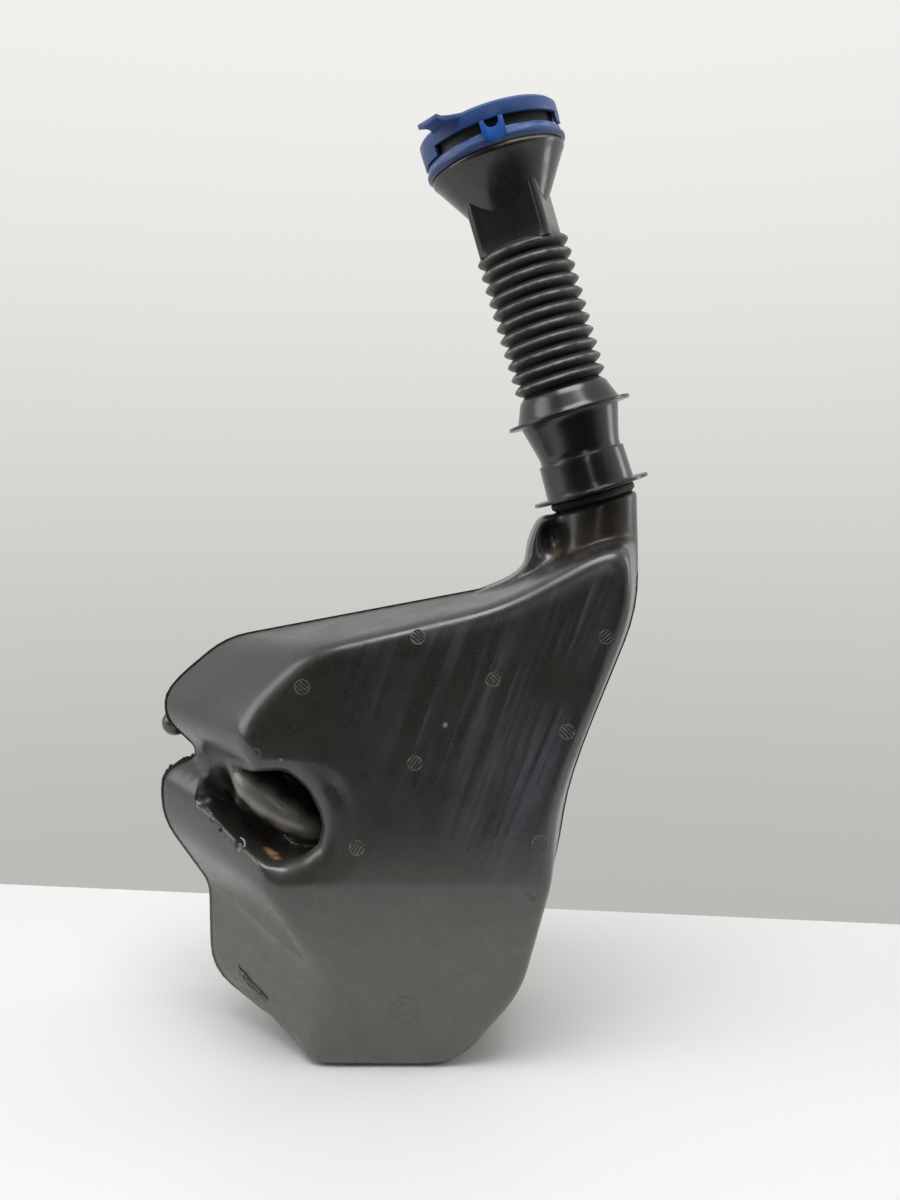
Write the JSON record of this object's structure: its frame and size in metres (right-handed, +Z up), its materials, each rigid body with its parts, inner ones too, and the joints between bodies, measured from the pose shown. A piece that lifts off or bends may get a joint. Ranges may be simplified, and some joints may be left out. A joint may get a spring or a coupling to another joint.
{
  "type": "washer fluid reservoir",
  "caption": "Blow-moulded washer fluid tank with a side pocket, a tilted bellows filler neck on a push-in coupling, and a snap cap on a strip hinge.",
  "frame": {"origin": "on the flat base, in the plane of the mould seam", "axes": "+Z up, +X towards the side that carries the filler neck, -Y out of the broad front face"},
  "size_m": [0.2108, 0.096, 0.3946],
  "materials": {
    "tank_black": "satin",
    "coupling_black": "gloss",
    "bellows_grey": "satin",
    "cap_blue": "satin",
    "seal_rubber": "matte"
  },
  "bodies": {
    "reservoir": {"tank": "tank_black", "neck_seal": "seal_rubber", "neck_coupling": "coupling_black", "filler_neck": "bellows_grey", "cap_ring": "cap_blue", "pump_grommet": "seal_rubber"},
    "lid": {"cap_lid": "cap_blue"}
  },
  "joints": [
    {"name": "lid_hinge", "type": "hinge", "parent": "reservoir", "child": "lid", "pos_m": [0.06194, 0.02313, 0.39124], "axis": [-0.7337, 0.6428, -0.2201], "range_deg": [0, 110]}
  ]
}
